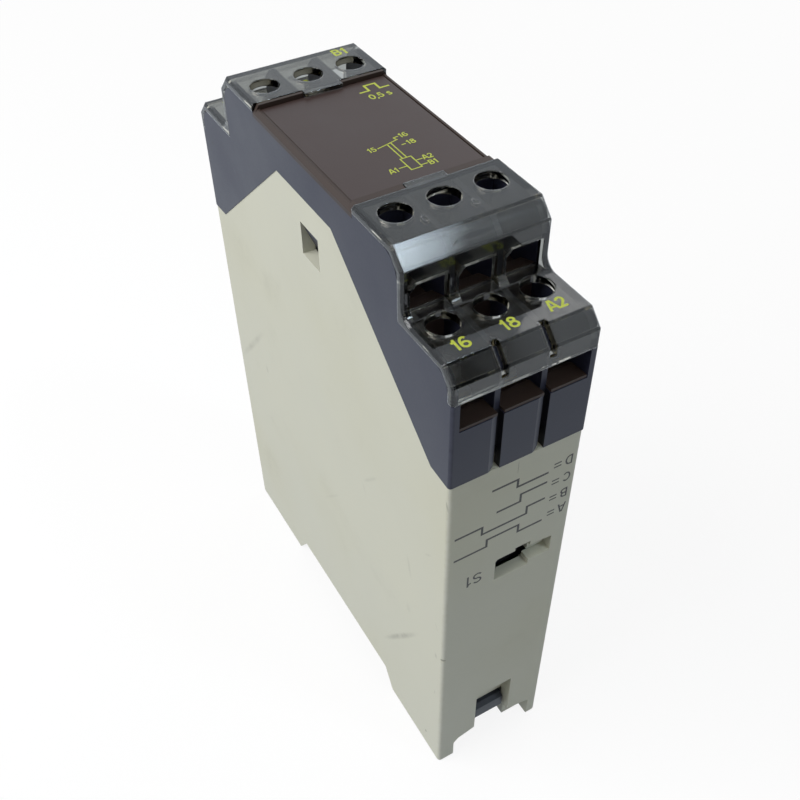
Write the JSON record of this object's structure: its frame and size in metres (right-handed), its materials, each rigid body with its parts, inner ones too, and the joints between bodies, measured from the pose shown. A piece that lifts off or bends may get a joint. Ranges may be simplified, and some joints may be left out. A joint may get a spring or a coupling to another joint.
{
  "type": "pulse relay",
  "caption": "Narrow rail-mounted pulse relay in a light case with a stepped slate terminal head, clear covers, screw terminals, end selector slot and sprung rail latch.",
  "frame": {"origin": "middle of the rail-side face that the relay stands on", "axes": "+X across the narrow width, +Y along the length away from the selector end, +Z from the rail side up to the front plate"},
  "size_m": [0.0226, 0.08, 0.11],
  "materials": {
    "light_case": "fine matte moulding",
    "slate_housing": "fine matte moulding",
    "clear_cover": "clear glossy sheet moulding",
    "brown_plastic": "matte moulding",
    "front_plate": "satin printed plate",
    "slate_latch": "satin moulding",
    "spring_steel": "bright spring strip",
    "black_plastic": "matte moulding",
    "light_slider": "satin moulding",
    "board": "resin board",
    "film_case": "potted box",
    "can_sleeve": "shrunk sleeve",
    "resistor_body": "lacquered",
    "tinned_copper": "tinned",
    "soft_iron": "nickel plated",
    "bobbin_plastic": "natural moulding",
    "copper_winding": "enamelled wire winding",
    "contact_brass": "bright strip",
    "relay_shell": "thin moulded shell",
    "zinc_steel": "bright zinc"
  },
  "bodies": {
    "case": {"base_case": "light_case", "upper_housing": "slate_housing", "near_terminal_cover": "clear_cover", "far_terminal_cover": "clear_cover", "front_frame": "brown_plastic", "label_plate": "front_plate", "near_terminal_block": "brown_plastic", "far_terminal_block": "brown_plastic", "latch_spring": "spring_steel", "selector_body": "black_plastic", "circuit_board": "board", "dropper_capacitor": "film_case", "timer_chip": "black_plastic", "smoothing_capacitor": "can_sleeve", "driver_transistor": "black_plastic", "resistors": "resistor_body", "diodes": "black_plastic", "terminal_leads": "tinned_copper", "relay_base": "black_plastic", "relay_yoke": "soft_iron", "relay_core": "soft_iron", "relay_bobbin": "bobbin_plastic", "relay_coil": "copper_winding", "make_contact": "contact_brass", "break_contact": "contact_brass", "return_spring": "spring_steel", "relay_cover": "relay_shell", "contact_bar_16": "contact_brass", "contact_bar_18": "contact_brass", "contact_bar_a2": "contact_brass", "contact_bar_15": "contact_brass", "contact_bar_a1": "contact_brass", "contact_bar_b1": "contact_brass"},
    "latch": {"rail_latch": "slate_latch"},
    "selector": {"selector_slider": "light_slider"},
    "armature": {"relay_armature": "soft_iron", "contact_spring": "contact_brass"},
    "clamp_16": {"clamp_plate_16": "zinc_steel"},
    "screw_16": {"terminal_screw_16": "zinc_steel"},
    "clamp_18": {"clamp_plate_18": "zinc_steel"},
    "screw_18": {"terminal_screw_18": "zinc_steel"},
    "clamp_a2": {"clamp_plate_a2": "zinc_steel"},
    "screw_a2": {"terminal_screw_a2": "zinc_steel"},
    "clamp_15": {"clamp_plate_15": "zinc_steel"},
    "screw_15": {"terminal_screw_15": "zinc_steel"},
    "clamp_a1": {"clamp_plate_a1": "zinc_steel"},
    "screw_a1": {"terminal_screw_a1": "zinc_steel"},
    "clamp_b1": {"clamp_plate_b1": "zinc_steel"},
    "screw_b1": {"terminal_screw_b1": "zinc_steel"}
  },
  "joints": [
    {"name": "latch_slide", "type": "slide", "parent": "case", "child": "latch", "axis": [0, -1, 0], "range_m": [0, 0.0032], "stiffness_N_per_m": 1500, "springref_m": -0.001, "deforming": ["latch_spring"]},
    {"name": "selector_slide", "type": "slide", "parent": "case", "child": "selector", "axis": [-1, 0, 0], "range_m": [0, 0.0057]},
    {"name": "armature_hinge", "type": "hinge", "parent": "case", "child": "armature", "pos_m": [-0.0036, 0.0202, 0.0452], "axis": [0, 0, 1], "range_deg": [0, 5], "stiffness_Nm_per_rad": 0.01, "springref_deg": -2.86, "deforming": ["return_spring"]},
    {"name": "clamp_16_lift", "type": "slide", "parent": "case", "child": "clamp_16", "axis": [0, 0, 1], "range_m": [0, 0.003]},
    {"name": "screw_16_turn", "type": "hinge", "parent": "clamp_16", "child": "screw_16", "pos_m": [-0.0072, -0.0311, 0.0895], "axis": [0, 0, 1], "range_deg": [0, 2165]},
    {"name": "clamp_18_lift", "type": "slide", "parent": "case", "child": "clamp_18", "axis": [0, 0, 1], "range_m": [0, 0.003]},
    {"name": "screw_18_turn", "type": "hinge", "parent": "clamp_18", "child": "screw_18", "pos_m": [0, -0.0311, 0.0895], "axis": [0, 0, 1], "range_deg": [0, 2165]},
    {"name": "clamp_a2_lift", "type": "slide", "parent": "case", "child": "clamp_a2", "axis": [0, 0, 1], "range_m": [0, 0.003]},
    {"name": "screw_a2_turn", "type": "hinge", "parent": "clamp_a2", "child": "screw_a2", "pos_m": [0.0072, -0.0311, 0.0895], "axis": [0, 0, 1], "range_deg": [0, 2165]},
    {"name": "clamp_15_lift", "type": "slide", "parent": "case", "child": "clamp_15", "axis": [0, 0, 1], "range_m": [0, 0.003]},
    {"name": "screw_15_turn", "type": "hinge", "parent": "clamp_15", "child": "screw_15", "pos_m": [-0.0072, 0.0311, 0.0895], "axis": [0, 0, 1], "range_deg": [0, 2165]},
    {"name": "clamp_a1_lift", "type": "slide", "parent": "case", "child": "clamp_a1", "axis": [0, 0, 1], "range_m": [0, 0.003]},
    {"name": "screw_a1_turn", "type": "hinge", "parent": "clamp_a1", "child": "screw_a1", "pos_m": [0.0072, 0.0311, 0.0895], "axis": [0, 0, 1], "range_deg": [0, 2165]},
    {"name": "clamp_b1_lift", "type": "slide", "parent": "case", "child": "clamp_b1", "axis": [0, 0, 1], "range_m": [0, 0.003]},
    {"name": "screw_b1_turn", "type": "hinge", "parent": "clamp_b1", "child": "screw_b1", "pos_m": [0.0072, 0.0195, 0.0993], "axis": [0, 0, 1], "range_deg": [0, 2165]}
  ],
  "couplings": [
    {"joint": "screw_16_turn", "follows": "clamp_16_lift", "rad_per_m": 12566},
    {"joint": "screw_18_turn", "follows": "clamp_18_lift", "rad_per_m": 12566},
    {"joint": "screw_a2_turn", "follows": "clamp_a2_lift", "rad_per_m": 12566},
    {"joint": "screw_15_turn", "follows": "clamp_15_lift", "rad_per_m": 12566},
    {"joint": "screw_a1_turn", "follows": "clamp_a1_lift", "rad_per_m": 12566},
    {"joint": "screw_b1_turn", "follows": "clamp_b1_lift", "rad_per_m": 12566}
  ]
}
